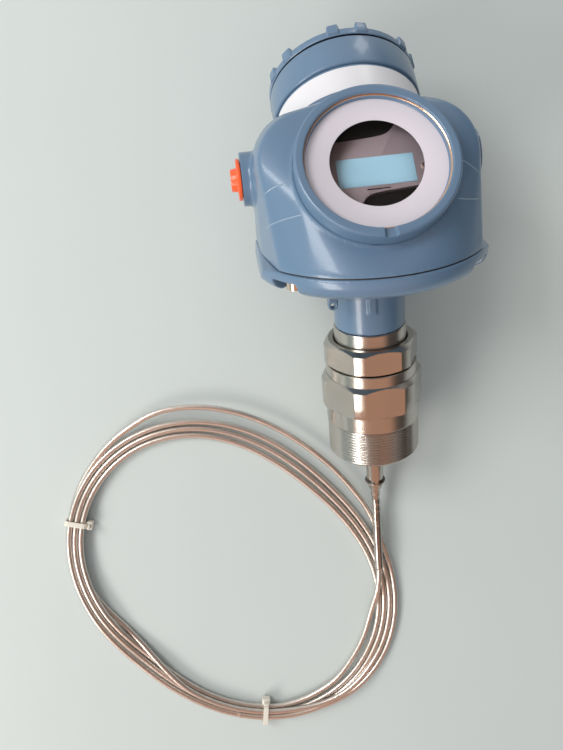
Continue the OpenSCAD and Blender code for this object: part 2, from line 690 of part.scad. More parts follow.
process_connection();
union_nut();
neck_sleeve();
tank_seal();
probe_stub();
retaining_ring();
base_flange();
base_gasket();
base_screws();
housing();
entry_plug();
ground_screw();
front_cover();
front_o_ring();
dial_card();
front_glass();
glass_ring();
display_module();
lcd_panel();
display_screws();
electronics_module();
rear_cover();
rear_o_ring();
rear_label();
terminal_block();
terminal_screws();
wire_swage();
probe_wire();
wire_coil();
coil_tie_left();
coil_tie_front();
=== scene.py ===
"""Guided wave radar level transmitter lying on a bench, its wire rope probe coiled beside it.

Every piece is made at its own place in the frame: metres, z up from the bench, y towards the head.
"""
import json
from math import cos, pi, radians, sin, tau

import bmesh
import bpy
import numpy as np
from mathutils import Matrix, Vector


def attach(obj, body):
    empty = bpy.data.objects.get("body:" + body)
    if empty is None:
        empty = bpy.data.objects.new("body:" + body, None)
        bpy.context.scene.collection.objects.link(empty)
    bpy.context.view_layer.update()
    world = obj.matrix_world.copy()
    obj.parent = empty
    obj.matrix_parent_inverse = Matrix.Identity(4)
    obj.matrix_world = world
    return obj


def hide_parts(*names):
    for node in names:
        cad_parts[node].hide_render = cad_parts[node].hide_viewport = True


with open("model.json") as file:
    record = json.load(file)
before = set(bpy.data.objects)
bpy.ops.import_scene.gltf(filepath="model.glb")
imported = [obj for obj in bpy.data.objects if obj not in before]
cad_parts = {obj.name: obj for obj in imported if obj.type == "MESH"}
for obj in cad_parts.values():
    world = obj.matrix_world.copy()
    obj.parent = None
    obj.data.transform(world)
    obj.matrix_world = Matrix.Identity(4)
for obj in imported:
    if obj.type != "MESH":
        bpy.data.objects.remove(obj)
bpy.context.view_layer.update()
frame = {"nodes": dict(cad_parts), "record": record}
MM = 0.001

# ---------------------------------------------------------------- camera
# Looks almost straight down from half a metre over the bench, with the head at the top of the view.
camera = bpy.data.objects.new("camera", bpy.data.cameras.new("camera"))
bpy.context.collection.objects.link(camera)
camera.data.sensor_width = 36
camera.data.lens = 35.2
right = Vector((0.991, -0.116, 0.064)).normalized()
forward = Vector((0.050, -0.118, -0.992)).normalized()
above = right.cross(forward)
right = forward.cross(above)
turn = Matrix((right, above, -forward)).transposed().to_4x4()
camera.matrix_world = Matrix.Translation((-0.0784, 0.0040, 0.5135)) @ turn
bpy.context.scene.camera = camera

# ---------------------------------------------------------------- places on the transmitter
# Four axes carry all pieces: the neck, the two compartments that cross on it, and the bench under
# the bend of the probe's tip. The neck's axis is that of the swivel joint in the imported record.
NUT_TOP = 80.5 * MM            # the head swivels on top of the union nut
HUB = 163.2 * MM               # height on the neck at which both compartment axes cross it
TILT = 41                      # rise of both compartment axes, degrees
BEND = -48 * MM                # height on the neck of the bend at the probe's tip
swivel = next(j for j in frame["record"]["behaviour"]["joints"] if j["name"] == "head_swivel")
up_neck = Vector(swivel["axis"]).normalized()
across = Vector((1, 0, 0))
neck = (Matrix.Translation(Vector(swivel["pos_m"]) - NUT_TOP * up_neck)
        @ Matrix((across, up_neck.cross(across), up_neck)).transposed().to_4x4())
front = neck @ Matrix.Translation((0, 0, HUB)) @ Matrix.Rotation(radians(90 - TILT), 4, "X")
rear = neck @ Matrix.Translation((0, 0, HUB)) @ Matrix.Rotation(-radians(90 - TILT), 4, "X")
bend = neck @ Vector((0, 0, BEND))
bench = Matrix.Translation((bend.x, bend.y, 0))


# ---------------------------------------------------------------- finishes and meshes
# Every finish is a procedural material with soft patches in its colour and gloss and a fine bump.
# Most pieces are meshes made from arrays of points.
def finish(name, colour, rough, metal=0.0, coat=0.0, cloud=(40, 0.12), grain=(900, 0.02), axis=None,
           lines=0.0):
    """A material for one finish. cloud is the scale and depth of soft patches in colour and gloss,
    grain the scale and height in millimetres of a fine bump, and lines the height of turning marks
    that run round the given axis."""
    material = bpy.data.materials.new(name)
    material.use_nodes = True
    nodes, link = material.node_tree.nodes, material.node_tree.links.new
    shader = nodes["Principled BSDF"]
    shader.inputs["Metallic"].default_value = metal
    shader.inputs["Coat Weight"].default_value = coat
    shader.inputs["Coat Roughness"].default_value = 0.12
    place = nodes.new("ShaderNodeTexCoord")
    patches = nodes.new("ShaderNodeTexNoise")
    patches.inputs["Scale"].default_value = cloud[0]
    patches.inputs["Detail"].default_value = 4
    link(place.outputs["Object"], patches.inputs["Vector"])
    tint = nodes.new("ShaderNodeMix")
    tint.data_type = "RGBA"
    tint.inputs[6].default_value = (*colour, 1)
    tint.inputs[7].default_value = (*[c * (1 - 2 * cloud[1]) for c in colour], 1)
    link(patches.outputs["Fac"], tint.inputs[0])
    link(tint.outputs[2], shader.inputs["Base Color"])
    gloss = nodes.new("ShaderNodeMapRange")
    gloss.inputs["To Min"].default_value = rough * 0.8
    gloss.inputs["To Max"].default_value = rough * 1.2
    link(patches.outputs["Fac"], gloss.inputs["Value"])
    link(gloss.outputs["Result"], shader.inputs["Roughness"])
    fine = nodes.new("ShaderNodeTexNoise")
    fine.inputs["Scale"].default_value = grain[0]
    fine.inputs["Detail"].default_value = 2
    link(place.outputs["Object"], fine.inputs["Vector"])
    bump = nodes.new("ShaderNodeBump")
    bump.inputs["Strength"].default_value = 1
    bump.inputs["Distance"].default_value = grain[1] * MM
    link(fine.outputs["Fac"], bump.inputs["Height"])
    if axis is not None:
        along = nodes.new("ShaderNodeVectorMath")
        along.operation = "DOT_PRODUCT"
        along.inputs[1].default_value = axis * 2600
        link(place.outputs["Object"], along.inputs[0])
        marks = nodes.new("ShaderNodeTexNoise")
        marks.noise_dimensions = "1D"
        marks.inputs["Scale"].default_value = 1
        marks.inputs["Detail"].default_value = 3
        link(along.outputs["Value"], marks.inputs["W"])
        turned_bump = nodes.new("ShaderNodeBump")
        turned_bump.inputs["Strength"].default_value = 1
        turned_bump.inputs["Distance"].default_value = lines * MM
        link(marks.outputs["Fac"], turned_bump.inputs["Height"])
        link(bump.outputs["Normal"], turned_bump.inputs["Normal"])
        bump = turned_bump
    link(bump.outputs["Normal"], shader.inputs["Normal"])
    return material


def constants(material, values):
    """Sets sockets of a finish's shader to plain values."""
    for socket, value in values.items():
        material.node_tree.nodes["Principled BSDF"].inputs[socket].default_value = value


def grid_quads(rows, columns, loop=False, ring=True):
    """Quads between neighbouring points of a grid; loop joins its last row to the first, ring its
    last column to the first."""
    i = np.arange(rows if loop else rows - 1)[:, None]
    j = np.arange(columns if ring else columns - 1)[None, :]
    after, beside = (i + 1) % rows, (j + 1) % columns
    corners = [i * columns + j, i * columns + beside, after * columns + beside, after * columns + j]
    return np.stack(np.broadcast_arrays(*corners), axis=-1).reshape(-1, 4)


def add_piece(name, points, faces, material, body, stands_for=(), slot=None, place=None, crisp=30):
    """A mesh piece: points in metres on the axis given by place, smooth but for edges sharper than
    crisp degrees, riding on a body and standing for CAD nodes."""
    mesh = bpy.data.meshes.new(name)
    points = np.asarray(points, dtype=float).reshape(-1, 3)
    if place is not None:
        turn = np.array(place)
        points = points @ turn[:3, :3].T + turn[:3, 3]
    mesh.from_pydata(points.tolist(), [], [list(map(int, f)) for f in faces])
    mesh.validate()
    mesh.shade_smooth()
    mesh.set_sharp_from_angle(angle=radians(crisp))
    for one in material if isinstance(material, (list, tuple)) else [material]:
        mesh.materials.append(one)
    piece = bpy.data.objects.new(name, mesh)
    bpy.context.collection.objects.link(piece)
    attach(piece, body)
    if stands_for:
        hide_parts(*stands_for)
    return piece


# ---------------------------------------------------------------- wire rope probe
# Four millimetre rope of six twisted strands. It leaves the swaged sleeve, runs down to the bench
# and lies in four turns; the last turn crosses under the others and stands away outside them.
ROPE_D = 4.0
SLEEVE_END = (-3, -51, 12)
lead_in = [SLEEVE_END, (-3.5, -57, 12), (-5, -65, 11.5), (-7, -72, 9.5), (-9.5, -79, 6.5),
           (-12, -87, 4.5), (-15, -96, 4), (-19, -105, 4), (-24, -113, 4), (-30, -121, 4),
           (-37, -129, 4), (-43, -135, 4)]
COIL_MIDDLE = np.array((-108.0, -43.0))
FIRST_ANGLE = -58.0            # where the rope joins the coil, degrees
LANE = 4.2                     # distance between neighbouring turns
ON_TOP = 1050                  # degrees of the coil that are laid over the last turn
LONGEST_STEP = 1.45            # between points of the route, in millimetres


def coil_radius(a):
    """The loose oval: 105 minus 15.5 sin 2a, a little flattened."""
    return 105.1 + 0.3 * np.cos(a) - 0.9 * np.sin(a) - 1.8 * np.cos(2 * a) - 15.5 * np.sin(2 * a)


# (degrees travelled clockwise, distance outside the middle turn, height above the bench)
wander = [(0, -8.2, 4), (20, -LANE, 3.3), (340, -LANE, 3.3), (380, 0, 3.3), (700, 0, 3.3),
          (740, LANE, 3.3), (1058, LANE, 3.3), (1076, 2.4, 7.1), (1096, -2.1, 6.9), (1140, -2.1, 6.9),
          (1158, -6.5, 6), (1172, -8.6, 3.3), (1184, -8.4, 2.6), (1229, 4.6, 3.3), (1250, 7, 4),
          (1266, 11.5, 6), (1275, 15.4, 7.4), (1290, 16.7, 8), (1316, 17.2, 8), (1340, 16.9, 7.6),
          (1362, 14.2, 6.4), (1378, 9.2, 4.6), (1392, 8.4, 3.3), (1420, 8.4, 3.3), (1432, 6.2, 6),
          (1446, 2.1, 6.9), (1476, 2.1, 6.9)]
knots = np.array(wander, dtype=float)
travel = np.arange(0, knots[-1, 0] + 0.1, 1.5)
upper_turns = travel < ON_TOP
aside = np.interp(travel, knots[:, 0], knots[:, 1])
height = np.interp(travel, knots[:, 0], knots[:, 2])
angle = np.radians(FIRST_ANGLE - travel)
compass = np.degrees(angle) % 360
# the first three turns ride over the last one where it crosses under them, and lie more loosely
# on the far side of the coil
over = np.interp(compass, [0, 122, 150, 192, 216, 360], [0, 0, 3.7, 3.7, 0, 0])
height = height + np.where(upper_turns, over, 0)
loose = 1 + 0.32 * np.exp(-((compass - 62) / 42) ** 2) + 0.16 * np.exp(-((compass - 222) / 26) ** 2)
aside = aside * np.where(upper_turns, loose, 1)
aside = aside + 0.35 * np.sin(radians(3.1) * travel) * np.where(upper_turns, loose - 1, 0) * 3
aside = aside - 2.0 * np.exp(-((compass - 275) / 30) ** 2)
reach = coil_radius(angle) + aside
coil_path = np.stack([COIL_MIDDLE[0] + reach * np.cos(angle), COIL_MIDDLE[1] + reach * np.sin(angle),
                      height], axis=1)
route = np.concatenate([np.array(lead_in, dtype=float), coil_path])
for _ in range(3):             # a stiff rope has no kinks
    steps = np.linalg.norm(np.diff(route, axis=0), axis=1)
    far = np.concatenate([[0], np.cumsum(steps)])
    even = np.linspace(0, far[-1], int(far[-1] / LONGEST_STEP))
    route = np.stack([np.interp(even, far, route[:, k]) for k in range(3)], axis=1)
    padded = np.pad(route, ((6, 6), (0, 0)), mode="reflect", reflect_type="odd")
    weights = np.hanning(13) / np.hanning(13).sum()
    route = np.stack([np.convolve(padded[:, k], weights, mode="valid") for k in range(3)], axis=1)
rope_path = route * MM + np.array(bench.translation)
rope_steps = np.linalg.norm(np.diff(rope_path, axis=0), axis=1)
rope_far = np.concatenate([[0], np.cumsum(rope_steps)])

ROPE_SIDES = 24
STRANDS = 6
LAY = 27 * MM                  # the strands go once round the rope in this length
along = np.gradient(rope_path, axis=0)
along = along / np.linalg.norm(along, axis=1, keepdims=True)
side = np.cross(along, [0, 0, 1])
side = side / np.linalg.norm(side, axis=1, keepdims=True)
rise = np.cross(side, along)
around = np.arange(ROPE_SIDES) * tau / ROPE_SIDES
twist = around[None, :] - tau * rope_far[:, None] / LAY
rope_r = ROPE_D / 2 * MM * (0.87 + 0.13 * np.abs(np.cos(STRANDS / 2 * twist)) ** 0.7)
rope_points = (rope_path[:, None, :] + (rope_r * np.cos(around))[..., None] * side[:, None, :]
               + (rope_r * np.sin(around))[..., None] * rise[:, None, :])
rows = len(rope_path)
rope_faces = [list(f[::-1]) for f in grid_quads(rows, ROPE_SIDES)]
rope_faces.append(list(range(ROPE_SIDES)))
rope_faces.append([(rows - 1) * ROPE_SIDES + k for k in range(ROPE_SIDES - 1, -1, -1)])
rope_steel = finish("rope_steel", (0.88, 0.82, 0.76), 0.34, metal=0.95, cloud=(180, 0.14),
                    grain=(2600, 0.05))
rope = add_piece("probe_rope", rope_points, rope_faces, rope_steel, "connection",
                 ["probe_wire", "wire_coil"], "wire_rope", crisp=60)


# ---------------------------------------------------------------- swaged sleeve on the rope's end
# A steel sleeve pressed on the rope and screwed to the tip of the probe's stub; it hangs down a
# little, with a ring at each crimp.
def eased(profile, radius):
    """The outline with each corner rounded over by three points, less where a side is short."""
    points = [np.array(p, dtype=float) for p in profile]
    closed = points[0][0] > 0
    out = []
    for i, here in enumerate(points):
        if not closed and i in (0, len(points) - 1):
            out.append(here)
            continue
        back, on = points[i - 1] - here, points[(i + 1) % len(points)] - here
        reach_back, reach_on = np.linalg.norm(back), np.linalg.norm(on)
        cut = min(radius, 0.45 * reach_back, 0.45 * reach_on)
        start, stop = here + back / reach_back * cut, here + on / reach_on * cut
        out += [start, 0.25 * start + 0.5 * here + 0.25 * stop, stop]
    return out


def turned(profile, sides=96, shape=None):
    """Points and faces of a piece turned on a lathe, from an outline (r, z) in millimetres that goes
    up its outer side. Ends on the axis close on one point each, other outlines join up.
    shape(r, z, a) may move the points of each ring."""
    outline = np.array(profile, dtype=float)
    on_axis = outline[0][0] == 0
    if on_axis:
        bottom, top = outline[0], outline[-1]
        outline = outline[1:-1]
    a = (np.arange(sides) * tau / sides)[None, :]
    r = outline[:, :1] + 0 * a
    z = outline[:, 1:] + 0 * a
    if shape:
        r, z = shape(r, z, a)
    points = np.stack([r * np.cos(a), r * np.sin(a), z], axis=-1).reshape(-1, 3) * MM
    faces = [list(f) for f in grid_quads(len(outline), sides, loop=not on_axis)]
    if on_axis:
        points = np.concatenate([points, [[0, 0, bottom[1] * MM], [0, 0, top[1] * MM]]])
        first, last = len(points) - 2, (len(outline) - 1) * sides
        faces += [[first, (j + 1) % sides, j] for j in range(sides)]
        faces += [[first + 1, last + j, last + (j + 1) % sides] for j in range(sides)]
    return points, faces


STEEL = (0.58, 0.545, 0.50)
turned_steel = finish("turned_steel", STEEL, 0.2, metal=1.0, cloud=(30, 0.1), grain=(1500, 0.006),
                      axis=up_neck, lines=0.03)
sleeve_end = bench @ Vector([c * MM for c in SLEEVE_END])
hang = sleeve_end - bend
sleeve_axis = Matrix.Translation(bend) @ hang.to_track_quat("Z", "Y").to_matrix().to_4x4()
sleeve_len = hang.length / MM
sleeve_profile = [(0, -2.6), (2.3, -2), (3.0, -0.8), (3.0, 3.2), (2.6, 3.7), (2.6, 4.7), (3.0, 5.2),
                  (3.0, 8.2), (2.75, 8.6), (2.75, 9.2), (3.0, 9.6), (3.0, 18.5), (2.85, 19), (2.85, 19.6),
                  (3.0, 20.1), (3.0, sleeve_len - 1.2), (2.5, sleeve_len), (0, sleeve_len)]
add_piece("swaged_sleeve", *turned(eased(sleeve_profile, 0.3), 48), turned_steel, "connection",
          ["wire_swage"], "steel_turned", sleeve_axis)
pin_profile = [(0, -49), (2.3, -49), (2.7, -48), (2.7, -44), (3.2, -43.4), (3.2, -41), (0, -41)]
add_piece("tip_pin", *turned(eased(pin_profile, 0.2), 48), turned_steel, "connection", place=neck,
          slot="steel_turned")

# ---------------------------------------------------------------- cable ties
# Two nylon straps hold the turns together, each with its square locking head on the inner side
# and a cut-off tail.
nylon = finish("natural_nylon", (0.80, 0.74, 0.64), 0.4, coat=0.1, cloud=(90, 0.05), grain=(700, 0.03))


def strap(width, low, high, wide, thick):
    """A band bent to a rounded oblong in the x z plane, its corners rounded by 1.6 mm, wide along y."""
    corner, half = 1.6, width / 2
    loop, out = [], []
    for k, (cx, cz) in enumerate([(half - corner, low + corner), (half - corner, high - corner),
                                  (corner - half, high - corner), (corner - half, low + corner)]):
        for a in np.linspace(-pi / 2, 0, 7) + k * pi / 2:
            loop.append((cx + corner * cos(a), cz + corner * sin(a)))
            out.append((cos(a), sin(a)))
    loop, out = np.array(loop), np.array(out)
    section = [(0, -1), (0, 1), (0.25, 1.0), (0.8, 0.97), (1, 0.88), (1, -0.88), (0.8, -0.97), (0.25, -1.0)]
    rings = [np.column_stack([loop[:, 0] + s * thick * out[:, 0], np.full(len(loop), e * wide / 2),
                              loop[:, 1] + s * thick * out[:, 1]]) for s, e in section]
    points = np.stack(rings, axis=1)
    return points.reshape(-1, 3) * MM, grid_quads(len(loop), len(section), loop=True)


def eased_block(lo, hi, round_off):
    """A block whose corners and edges are rounded: a cube's grid pushed out from a smaller block."""
    lo, hi = np.array(lo, dtype=float), np.array(hi, dtype=float)
    block = bmesh.new()
    bmesh.ops.create_cube(block, size=2)
    bmesh.ops.subdivide_edges(block, edges=block.edges, cuts=7, use_grid_fill=True)
    block.verts.ensure_lookup_table()
    unit = np.array([v.co for v in block.verts])
    faces = [[v.index for v in f.verts] for f in block.faces]
    block.free()
    inner = (hi - lo) / 2 - round_off
    core = np.sign(unit) * np.where(np.abs(unit) > 0.7, 1, np.abs(unit) / 0.75 * 0.98) * inner
    push = np.where(np.abs(unit) > 0.7, unit - np.sign(unit) * 0.72, 0)
    push = push / np.maximum(np.linalg.norm(push, axis=1, keepdims=True), 1e-9)
    return (core + push * round_off + (lo + hi) / 2) * MM, faces


for name, degrees, inner_top in [("tie_left", 153, 9.3), ("tie_front", -84, 9.1)]:
    a = radians(degrees)
    middle = COIL_MIDDLE + (coil_radius(a) - (2 if name == "tie_front" else 0)) * np.array([cos(a), sin(a)])
    slope = (coil_radius(a + 0.01) - coil_radius(a - 0.01)) / 0.02
    outward = a - np.arctan2(slope, coil_radius(a))
    at = (bench @ Matrix.Translation((middle[0] * MM, middle[1] * MM, 0))
          @ Matrix.Rotation(outward, 4, "Z"))
    band, band_faces = strap(13.6, 1.15, inner_top, 3.7, 0.9)
    head, head_faces = eased_block((-11.6, -3.0, 1.0), (-7.2, 3.0, 6.9), 0.8)
    tail, tail_faces = eased_block((-10.0, -1.7, 6.6), (-9.0, 1.7, 10.8), 0.35)
    points = np.concatenate([band, head, tail])
    faces = [list(f) for f in band_faces]
    faces += [[i + len(band) for i in f] for f in head_faces]
    faces += [[i + len(band) + len(head) for i in f] for f in tail_faces]
    add_piece(name, points, faces, nylon, "connection", ["coil_" + name], "tie_white", at)

# ---------------------------------------------------------------- probe stub and snap ring
# The stub is turned from bar and passes up through the process connection; an open snap ring sits
# in its groove and a slimmer nose ends it.
stub_profile = [(0, -42), (3.2, -42), (3.2, -38), (4.4, -37), (4.8, -34), (5.8, -33), (5.8, -31.1),
                (5.2, -31.1), (5.2, -29.7), (5.8, -29.7), (5.8, 24.9), (3.9, 24.9), (3.9, 73.7), (0, 73.7)]
add_piece("stub_bar", *turned(eased(stub_profile, 0.3)), turned_steel, "connection", ["probe_stub"],
          "steel_turned", neck)
spring_steel = finish("spring_steel", (0.30, 0.27, 0.25), 0.35, metal=1.0, cloud=(200, 0.2))
gap_half, RING_STEPS = radians(16), 80
sweep = np.linspace(gap_half - pi / 2, tau - gap_half - pi / 2, RING_STEPS)
ring_section = np.array([(5.3, -30.95), (6.9, -30.9), (7.1, -30.4), (6.9, -29.9), (5.3, -29.85)])
ring_points = np.stack([np.outer(np.cos(sweep), ring_section[:, 0]),
                        np.outer(np.sin(sweep), ring_section[:, 0]),
                        np.outer(np.ones(RING_STEPS), ring_section[:, 1])], axis=-1) * MM
ring_faces = [list(f[::-1]) for f in grid_quads(RING_STEPS, 5)]
ring_faces += [list(range(5)), [RING_STEPS * 5 - k for k in range(1, 6)]]
add_piece("snap_ring", ring_points, ring_faces, spring_steel, "connection", ["retaining_ring"],
          "steel_dark", neck)

# ---------------------------------------------------------------- process connection
# One turned piece: a parallel pipe thread cut as a true helix, a plain shoulder, a hexagon whose
# corners were turned off before it was milled, a collar and the thread that carries the union nut.
PITCH = 2.0
THREAD_DEEP = 0.85
HEX_PHASE = radians(-85)
BODY_FLATS, NUT_FLATS = 60, 55


def helix(r, z, a, low, high, pitch, deep, run_out=1.2):
    """Rounded V grooves that climb one pitch in each turn between low and high and fade at both
    ends; only points on the thread's outside are moved."""
    wave = 0.5 + 0.5 * np.cos(tau * (z / pitch - a / tau))
    fade = np.clip((z - low) / run_out, 0, 1) * np.clip((high - z) / run_out, 0, 1)
    return r - deep * (1 - wave ** 0.75) * fade


def milled(r, a, flats, phase):
    """The ring cut by a hexagon: r, or the distance to the nearest flat along this angle."""
    off = (a - phase + pi / 6) % (pi / 3) - pi / 6
    return np.minimum(r, flats / 2 / np.cos(off))


def connection_shape(r, z, a):
    """Thread below 24.6 mm and hexagon from 36 to 57 mm, both on the outer side only."""
    outer = r > 26
    r = np.where(outer & (z < 24.6), helix(r, z, a, 0.4, 24.8, PITCH, THREAD_DEEP), r)
    return np.where(outer & (z > 36.05) & (z < 57.05), milled(r, a, BODY_FLATS, HEX_PHASE), r), z


thread_rows = [(29.8, z) for z in np.arange(1, 24.6, 0.2)]
chamfer_rows = [(32.5 - 3.3 * t, 54.6 + 2.3 * t) for t in np.linspace(0, 1, 8)]
connection_profile = ([(28.4, 0), (28.9, 0.1)] + thread_rows + [(29.7, 24.7), (29.1, 24.8), (29.1, 25.0),
                      (30.1, 25.1), (30.2, 25.4), (30.2, 35.9), (30.2, 36.02), (31.6, 36.06), (32.4, 36.5),
                      (32.5, 36.9), (32.5, 45), (32.5, 54)] + chamfer_rows
                      + [(29.2, 57.06), (29, 57.1), (29, 63.8), (28.6, 64.2), (24.5, 64.25), (24.5, 73.2),
                         (24, 73.7), (15, 73.7), (9, 69.7), (9, 25.1), (5.85, 24.9), (5.85, 0.3), (6.4, 0)])
add_piece("connection_body", *turned(connection_profile, 360, connection_shape), turned_steel,
          "connection", ["process_connection"], "steel_turned", neck, crisp=18)

# ---------------------------------------------------------------- union nut
# A loose hexagon nut with both ends chamfered; its lip holds the neck sleeve down on the seal.
def nut_shape(r, z, a):
    """Hexagon on the outer side."""
    return np.where(r > 25.5, milled(r, a, NUT_FLATS, HEX_PHASE), r), z


nut_profile = ([(26.9 + 2.9 * t, 64.5 + 1.6 * t) for t in np.linspace(0, 1, 8)] + [(29.8, 70), (29.8, 77.6)]
               + [(29.8 - 3.2 * t, 78.2 + 2.3 * t) for t in np.linspace(0, 1, 9)]
               + [(23.9, 80.5), (23.3, 79.9), (23.3, 77.1), (24.8, 77.1), (24.8, 65), (25.2, 64.5)])
add_piece("nut_body", *turned(nut_profile, 360, nut_shape), turned_steel, "nut", ["union_nut"],
          "steel_turned", neck, crisp=18)

# ---------------------------------------------------------------- neck sleeve
# A turned steel sleeve pressed into the cast neck; the union nut clamps its lower flange.
sleeve_parts = [(22.6, 77.0), (22.6, 88.6), (22.1, 89.2), (17, 89.3), (16.95, 111.3), (14, 111.3),
                (14, 74.2), (24.1, 74.0), (24.2, 76.6)]
add_piece("sleeve_body", *turned(eased(sleeve_parts, 0.3), 160), turned_steel, "head", ["neck_sleeve"],
          "steel_turned", neck)

# ---------------------------------------------------------------- cast base
# Cast aluminium flange, bowl-shaped underneath, with the neck, a small ear and a rib cast on and a
# recess for each of the four screws. Its edges are as soft as the sand mould left them.
enamel = finish("blue_enamel", (0.122, 0.206, 0.315), 0.36, coat=0.5, cloud=(22, 0.05),
                grain=(420, 0.03))


def softened(piece, voxel, passes, thin=1.0):
    """Rebuilds a piece's mesh on a fine grid and relaxes it, which leaves every edge and inner corner
    with the round of a casting. thin is the share of the faces that is kept."""
    remesh = piece.modifiers.new("grid", "REMESH")
    remesh.mode = "VOXEL"
    remesh.voxel_size = voxel * MM
    relax = piece.modifiers.new("relax", "SMOOTH")
    relax.factor = 0.5
    relax.iterations = passes
    if thin < 1:
        fewer = piece.modifiers.new("fewer", "DECIMATE")
        fewer.ratio = thin
    applied(piece)


def applied(piece):
    """Turns a piece's modifiers into its mesh."""
    mesh = bpy.data.meshes.new_from_object(piece.evaluated_get(bpy.context.evaluated_depsgraph_get()))
    piece.modifiers.clear()
    piece.data = mesh


def smooth_finish(piece, crisp):
    """Smooth shading but for edges sharper than crisp degrees."""
    piece.data.shade_smooth()
    piece.data.set_sharp_from_angle(angle=radians(crisp))


base = bpy.data.objects.new("base_casting", frame["nodes"]["base_flange"].data.copy())
bpy.context.collection.objects.link(base)
base.data.materials.clear()
base.data.materials.append(enamel)
softened(base, 0.7, 3, 0.6)
smooth_finish(base, 50)
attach(base, "head")
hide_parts("base_flange")

# ---------------------------------------------------------------- housing
# The twin-compartment casting: a domed body on the flange's outline that flows into a disc behind
# each cover, a barrel in each disc and a conduit boss on each cheek, then machined faces and bores.
FRONT_FACE, REAR_FACE, BARREL_R, BORE_R = 40, 63, 43.5, 40
HEAD_Z, HALF_W, FLANGE_R, DOME_RISE, DOME_ROUND = 143.1, 64, 70, 75, 29
DOME_R, FOOT_R = HALF_W - 0.5, FLANGE_R - 0.8
CHEEK_R, CHEEK_BACK = 280, 25  # the curved cheeks, widest this far behind the neck axis
CORNER_Y, CORNER_RISE = -41, 5  # where a cheek meets the round front, and how high it stands upright
SHOULDER = 32                  # slope of the plane where the dome falls away to the front, degrees
SHOULDER_Y = -2.6              # where that plane meets the top of the dome
BOSS_X, ENTRY_Y, ENTRY_Z, BOSS_R = 69.4, 18, HEAD_Z + 38, 15.5


def disc_points(radius, low, high, ease, sides=160):
    """Two rings at each face of a disc with eased edges."""
    a = np.arange(sides) * tau / sides
    rings = [(radius - ease, low), (radius - 0.3 * ease, low + 0.3 * ease), (radius, low + ease),
             (radius, high - ease), (radius - 0.3 * ease, high - 0.3 * ease), (radius - ease, high)]
    return np.concatenate([np.column_stack([r * np.cos(a), r * np.sin(a), np.full(sides, z)])
                           for r, z in rings])


def on_axis(axis, points):
    """Points in millimetres on an axis, moved to the frame in metres."""
    turn = np.array(axis)
    return np.asarray(points) * MM @ turn[:3, :3].T + turn[:3, 3]


def dome_points():
    """The dome over the base, cut by the sloping plane of its shoulder and by the plane of the rear
    disc."""
    profile = [(DOME_R, 0), (DOME_R, 15), (DOME_R, 30)]
    profile += [(DOME_R - DOME_ROUND * (1 - cos(t)), DOME_RISE - DOME_ROUND * (1 - sin(t)))
                for t in np.linspace(0, pi / 2, 24)]
    points, faces = turned([(0, 0)] + profile[:-1] + [(0, DOME_RISE)], 160)
    dome = bmesh.new()
    for p in on_axis(neck @ Matrix.Translation((0, 0, HEAD_Z * MM)), points / MM):
        dome.verts.new(p)
    dome.verts.ensure_lookup_table()
    for f in faces:
        dome.faces.new([dome.verts[i] for i in f])
    shoulder = radians(SHOULDER)
    cuts = [(neck @ Vector((0, SHOULDER_Y * MM, (HEAD_Z + DOME_RISE) * MM)),
             neck.to_3x3() @ Vector((0, -cos(shoulder), sin(shoulder)))),
            (rear @ Vector((0, 0, 40 * MM)), rear.col[2].to_3d())]
    for place, facing in cuts:
        bmesh.ops.bisect_plane(dome, geom=dome.verts[:] + dome.edges[:] + dome.faces[:], clear_outer=True,
                               plane_co=place, plane_no=facing)
    kept = np.array([v.co for v in dome.verts])
    dome.free()
    return kept


side_a = np.linspace(0, tau, 240, endpoint=False)
foot_y = FOOT_R * np.sin(side_a)
cheek = HALF_W - CHEEK_R + np.sqrt(CHEEK_R ** 2 - (foot_y - CHEEK_BACK) ** 2)
outline = np.column_stack([np.clip(FOOT_R * np.cos(side_a), -cheek, cheek), foot_y])
foot = np.concatenate([np.column_stack([outline, np.full(len(outline), HEAD_Z + z)]) for z in (-2, 1)])


def corner_points():
    """The front half of each cheek with its corner, carried up from the foot and drawn in by the
    square of the height, so that the foot stands upright before the casting turns in."""
    kept = []
    cheeks = outline[(outline[:, 1] < 8) & (outline[:, 1] > CORNER_Y)]
    for rise in np.arange(1, CORNER_RISE, 1.5):
        ring = cheeks * (1 - 0.0028 * rise ** 2 / np.linalg.norm(cheeks, axis=1, keepdims=True))
        kept.append(np.column_stack([ring, np.full(len(ring), HEAD_Z + rise)]))
    return on_axis(neck, np.concatenate(kept))


cast = bmesh.new()
for p in np.concatenate([on_axis(neck, foot), dome_points(), corner_points(),
                         on_axis(front, disc_points(46.5, FRONT_FACE - 4.6, FRONT_FACE - 0.6, 2)),
                         on_axis(rear, disc_points(45.8, 38, 42, 1.8))]):
    cast.verts.new(p)
bmesh.ops.convex_hull(cast, input=cast.verts[:])
loose_ends = [v for v in cast.verts if not v.link_faces]
bmesh.ops.delete(cast, geom=loose_ends, context="VERTS")


def add_bar(mesh, axis, radius, low, high, sides=160):
    """A round bar along an axis, in millimetres, added to a bmesh."""
    length = (high - low) * MM
    place = axis @ Matrix.Translation((0, 0, (low + high) / 2 * MM))
    bmesh.ops.create_cone(mesh, cap_ends=True, segments=sides, radius1=radius * MM, radius2=radius * MM,
                          depth=length, matrix=place)


def entry_axis(sign):
    """The axis out of the left (-1) or right (1) conduit entry, from the middle of the head."""
    middle = Matrix.Translation((0, ENTRY_Y * MM, ENTRY_Z * MM))
    return neck @ middle @ Matrix.Rotation(sign * pi / 2, 4, "Y")


